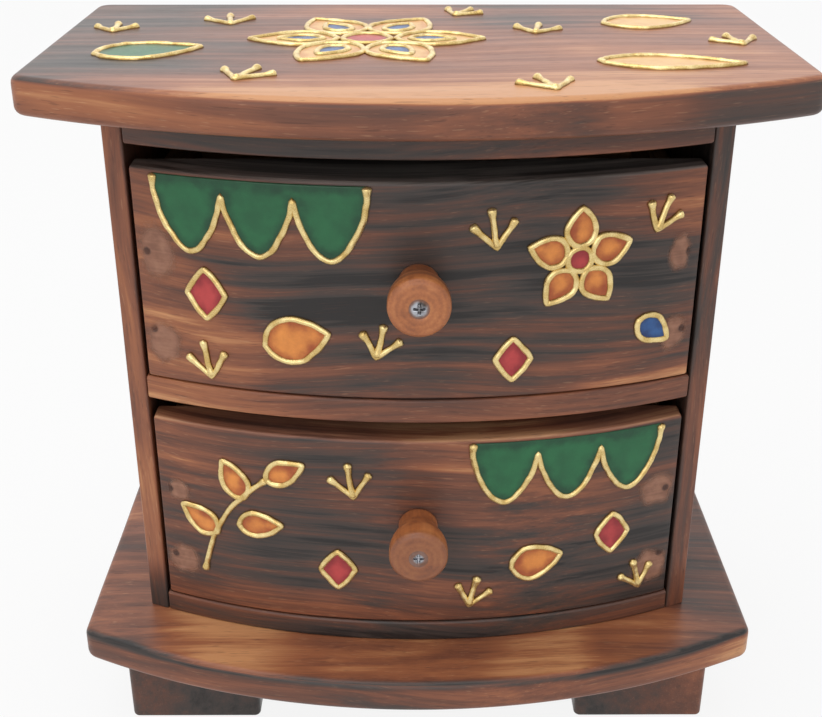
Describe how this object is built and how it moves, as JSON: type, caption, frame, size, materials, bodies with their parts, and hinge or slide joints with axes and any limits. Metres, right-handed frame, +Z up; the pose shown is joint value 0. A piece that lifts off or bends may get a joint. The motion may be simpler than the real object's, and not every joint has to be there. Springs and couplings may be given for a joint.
{
  "type": "desktop drawer organizer",
  "caption": "Small bow-fronted wooden desktop chest with stacked drawers between overhanging top and base boards, turned knobs and batten feet.",
  "frame": {"origin": "on the floor under the middle of the top board", "axes": "+X across the front to the viewer's right, +Y from front to back, +Z up"},
  "size_m": [0.2, 0.125, 0.2016],
  "materials": {
    "stained_wood": "dark torched brown stain under semi-gloss lacquer",
    "box_wood": "plain sanded board",
    "plywood": "thin plywood, lightly stained",
    "turned_wood": "orange-brown varnish on turned wood",
    "steel": "plain drawn wire and a zinc-plated screw",
    "filler": "sanded wood filler",
    "gold_paint": "glossy enamel laid on by hand",
    "orange_paint": "glossy enamel laid on by hand",
    "red_paint": "glossy enamel laid on by hand",
    "green_paint": "glossy enamel laid on by hand",
    "blue_paint": "glossy enamel laid on by hand",
    "cream_paint": "glossy enamel laid on by hand"
  },
  "bodies": {
    "case": {"back_panel": "plywood", "back_pins": "steel", "base_board": "stained_wood", "bottom_shelf": "stained_wood", "foot_nails": "steel", "left_foot": "stained_wood", "left_side_panel": "stained_wood", "middle_shelf": "stained_wood", "right_foot": "stained_wood", "right_side_panel": "stained_wood", "shelf_pins": "steel", "side_nails": "steel", "top_board": "stained_wood", "top_dowels": "box_wood", "top_rail": "stained_wood"},
    "upper_drawer": {"upper_drawer_back": "box_wood", "upper_drawer_back_nails": "steel", "upper_drawer_bottom": "plywood", "upper_drawer_bottom_pins": "steel", "upper_drawer_front": "stained_wood", "upper_drawer_front_nails": "steel", "upper_drawer_left_side": "box_wood", "upper_drawer_nail_plugs": "filler", "upper_drawer_right_side": "box_wood", "upper_knob": "turned_wood", "upper_knob_screw": "steel"},
    "lower_drawer": {"lower_drawer_back": "box_wood", "lower_drawer_back_nails": "steel", "lower_drawer_bottom": "plywood", "lower_drawer_bottom_pins": "steel", "lower_drawer_front": "stained_wood", "lower_drawer_front_nails": "steel", "lower_drawer_left_side": "box_wood", "lower_drawer_nail_plugs": "filler", "lower_drawer_right_side": "box_wood", "lower_knob": "turned_wood", "lower_knob_screw": "steel"}
  },
  "joints": [
    {"name": "upper_drawer_slide", "type": "slide", "parent": "case", "child": "upper_drawer", "axis": [0, -1, 0], "range_m": [0, 0.062]},
    {"name": "lower_drawer_slide", "type": "slide", "parent": "case", "child": "lower_drawer", "axis": [0, -1, 0], "range_m": [0, 0.062]}
  ]
}
